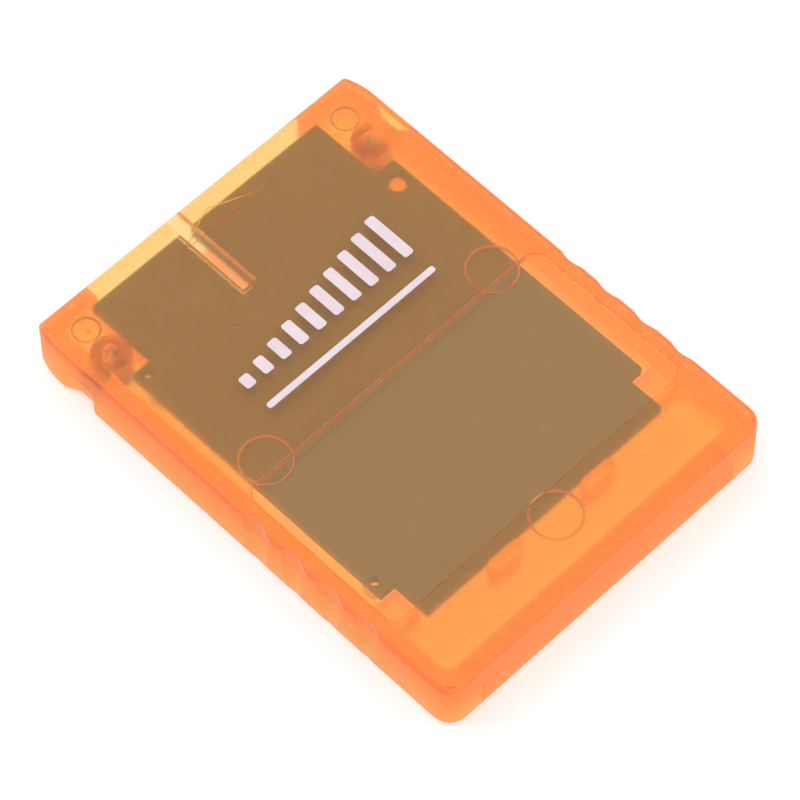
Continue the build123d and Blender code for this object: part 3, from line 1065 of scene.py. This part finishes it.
@dataclass
class Studio:
    """White floor, soft light and the camera at the photograph's angle.

    Angles are in degrees, focal and image_side in pixels, and a lamp has a name, a place, a size and a power.
    """

    floor_half: float = 3000.0
    floor_lines: int = 13
    floor_drop: float = 0.05
    floor_tone: Color = (0.88, 0.88, 0.88)
    floor_roughness: float = 0.8
    camera_lift: float = 0.28
    mouth: Box = Box((-14.0, 15.0, -1.0), (14.0, 26.0, 1.0))
    mouth_light: Color = (1.0, 0.45, 0.3)
    white: Color = (1.0, 1.0, 1.0)
    dome_strength: float = 0.88
    lamps: tuple[tuple[str, Point, float, float], ...] = (
        ("key", (-260.0, 420.0, 560.0), 420.0, 1.2),
        ("fill", (480.0, -300.0, 460.0), 520.0, 0.5),
    )
    elevation: float = 58.962
    azimuth: float = -44.296
    roll: float = -0.442
    focal: float = 4783.576
    image_side: float = 800.0
    sensor: float = 36.0
    distance: float = 453.271
    aim_right: float = 0.218
    aim_up: float = -0.713
    aim_height: float = 3.0
    clip_start: float = 0.01
    clip_end: float = 20.0

    def build(self) -> None:
        """Build the floor, the light and the camera."""
        self.build_floor()
        self.build_world()
        self.build_lamps()
        self.build_camera()
        bpy.context.scene.view_settings.view_transform = "Standard"

    @staticmethod
    def seen(tree: Tree, *kinds: str) -> bpy.types.NodeSocket:
        """Share of a ray that is of one of the named kinds.

        Args:
            tree: Tree of a material or a world.
            kinds: Names of Light Path outputs.

        Returns:
            Socket that is 1 for such a ray and 0 otherwise.
        """
        path = tree.add("LightPath")
        share = path.outputs[kinds[0]]
        for kind in kinds[1:]:
            share = tree.math("MAXIMUM", share, path.outputs[kind])
        return share

    def build_floor(self) -> None:
        """Lay a flat grid just under the card.

        Camera rays see it lifted to white, so the shadow stays on it. Rays through the plastic see it white,
        and orange under the connector mouth, where the light has come through the card.
        """
        side = np.linspace(-self.floor_half, self.floor_half, self.floor_lines)
        x, y = np.meshgrid(side, side)
        points = np.stack((x, y, np.full_like(x, -self.floor_drop)), axis=-1).reshape(-1, 3) * MM
        index = np.arange(self.floor_lines**2).reshape(self.floor_lines, self.floor_lines)
        corners = (index[:-1, :-1], index[:-1, 1:], index[1:, 1:], index[1:, :-1])
        quads = np.stack(corners, axis=-1).reshape(-1, 4)
        mesh = bpy.data.meshes.new("floor")
        mesh.from_pydata(points.tolist(), [], quads.tolist())
        floor = bpy.data.objects.new("floor", mesh)
        bpy.context.scene.collection.objects.link(floor)
        made = Surface("white_floor")
        made.set(Base_Color=(*self.floor_tone, 1.0), Roughness=self.floor_roughness)
        lift = made.tree.add("Emission")
        lift.inputs["Strength"].default_value = 1.0
        under = self.mouth.mask(made.tree, made.coordinates)
        made.tree.link(made.tree.mix(under, self.white, self.mouth_light), lift.inputs["Color"])
        plain = made.tree.add("AddShader")
        glow = made.tree.add("Emission")
        camera = self.seen(made.tree, "Is Camera Ray")
        made.tree.link(made.tree.math("MULTIPLY", camera, self.camera_lift), glow.inputs["Strength"])
        made.tree.link(made.shader.outputs[0], plain.inputs[0])
        made.tree.link(glow.outputs[0], plain.inputs[1])
        through = made.tree.add("MixShader")
        made.tree.link(self.seen(made.tree, "Is Glossy Ray", "Is Transmission Ray"), through.inputs[0])
        made.tree.link(plain.outputs[0], through.inputs[1])
        made.tree.link(lift.outputs[0], through.inputs[2])
        made.tree.link(through.outputs[0], made.output.inputs["Surface"])
        mesh.materials.append(made.material)

    def build_world(self) -> None:
        """Light the scene with an even dome, which camera, glossy and transmitted rays see as white."""
        world = bpy.data.worlds.new("studio")
        world.use_nodes = True
        world.node_tree.nodes.clear()
        tree = Tree(world.node_tree)
        dome = tree.add("Background")
        dome.inputs["Color"].default_value = (*self.white, 1.0)
        white = self.seen(tree, "Is Camera Ray", "Is Glossy Ray", "Is Transmission Ray")
        tree.link(tree.ramp(white, 0.0, 1.0, self.dome_strength, 1.0), dome.inputs["Strength"])
        tree.link(dome.outputs[0], tree.add("OutputWorld").inputs["Surface"])
        bpy.context.scene.world = world

    def build_lamps(self) -> None:
        """Hang two soft lamps, a key over the connector end and a weaker fill on the other side."""
        for name, place, side, power in self.lamps:
            lamp = bpy.data.lights.new(name, "AREA")
            lamp.shape = "DISK"
            lamp.size = side * MM
            lamp.energy = power
            made = bpy.data.objects.new(name, lamp)
            back = np.array(place) / np.linalg.norm(place)
            right = np.cross((0.0, 0.0, 1.0), back)
            right /= np.linalg.norm(right)
            self.stand(made, right, np.cross(back, right), back, np.array(place))

    @staticmethod
    def stand(
        made: bpy.types.Object, right: np.ndarray, up: np.ndarray, back: np.ndarray, place: np.ndarray
    ) -> None:
        """Put a lamp or a camera in its place.

        Args:
            made: The object.
            right: Its own X axis.
            up: Its own Y axis.
            back: Its own Z axis, away from where it looks.
            place: Its place in millimetres.
        """
        turned = np.eye(4)
        turned[:3] = np.column_stack((right, up, back, place * MM))
        made.matrix_world = Matrix(turned.tolist())
        bpy.context.scene.collection.objects.link(made)

    def build_camera(self) -> None:
        """Aim the camera from its elevation, azimuth and roll at a point near the card's middle."""
        rise, turn, roll = np.radians((self.elevation, self.azimuth, self.roll))
        back = np.array((np.sin(turn) * np.cos(rise), -np.cos(turn) * np.cos(rise), np.sin(rise)))
        right = np.array((np.cos(turn), np.sin(turn), 0.0))
        up = np.cross(back, right)
        target = self.aim_right * right + self.aim_up * up + np.array((0.0, 0.0, self.aim_height))
        lens = bpy.data.cameras.new("photo_camera")
        lens.sensor_width = self.sensor
        lens.lens = self.focal / self.image_side * self.sensor
        lens.clip_start = self.clip_start
        lens.clip_end = self.clip_end
        made = bpy.data.objects.new("photo_camera", lens)
        rolled_right = np.cos(roll) * right + np.sin(roll) * up
        rolled_up = -np.sin(roll) * right + np.cos(roll) * up
        self.stand(made, rolled_right, rolled_up, back, target + back * self.distance)
        bpy.context.scene.camera = made


def main() -> None:
    """Dress the solids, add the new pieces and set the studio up."""
    logging.basicConfig(level=logging.INFO, format="%(message)s")
    Card().dress()
    steel = PlatedMetal("screw_steel", (0.5, 0.5, 0.49), (0.66, 0.66, 0.65), roughness=0.25).surface()
    ink = MatteFilm("print_ink", (0.76, 0.63, 0.68), (0.82, 0.7, 0.74)).surface()
    # The next two films paint the ring lines at the ejector marks: the dark one is painted shade, the bright
    # one painted highlight.
    ring_shade = MatteFilm("ring_shade_film", (0.34, 0.24, 0.28), (0.42, 0.29, 0.32)).surface()
    ring_highlight = MatteFilm("ring_highlight", (0.85, 0.4, 0.3), (0.95, 0.5, 0.36)).surface()
    # The next film is a painted highlight: the white dome in the left small mark.
    pale = MatteFilm("highlight_pip_white", (0.9, 0.88, 0.86), (0.95, 0.93, 0.92)).surface()
    # The next film is painted shade for the two lines at the recess's front slope.
    edge = MatteFilm("recess_edge_shade", (0.58, 0.19, 0.07), (0.68, 0.24, 0.09)).surface()
    large_rings = PaintedRingLines("large_highlight_rings", radius=2.6, places=LARGE_MARKS, thin=0.06, thick=0.14)
    small_rings = PaintedRingLines("small_shade_rings", radius=1.36, places=SMALL_MARKS, thin=0.045, thick=0.08)
    for piece in (
        CaseScrews().build(steel),
        PrintedMarks().build(ink),
        large_rings.build(ring_highlight),
        small_rings.build(ring_shade),
        HighlightPip().build(pale),
        RecessEdge().build(edge),
    ):
        log.info("built %s with %d faces", piece.name, len(piece.data.polygons))
    Studio().build()


if __name__ == "__main__":
    main()
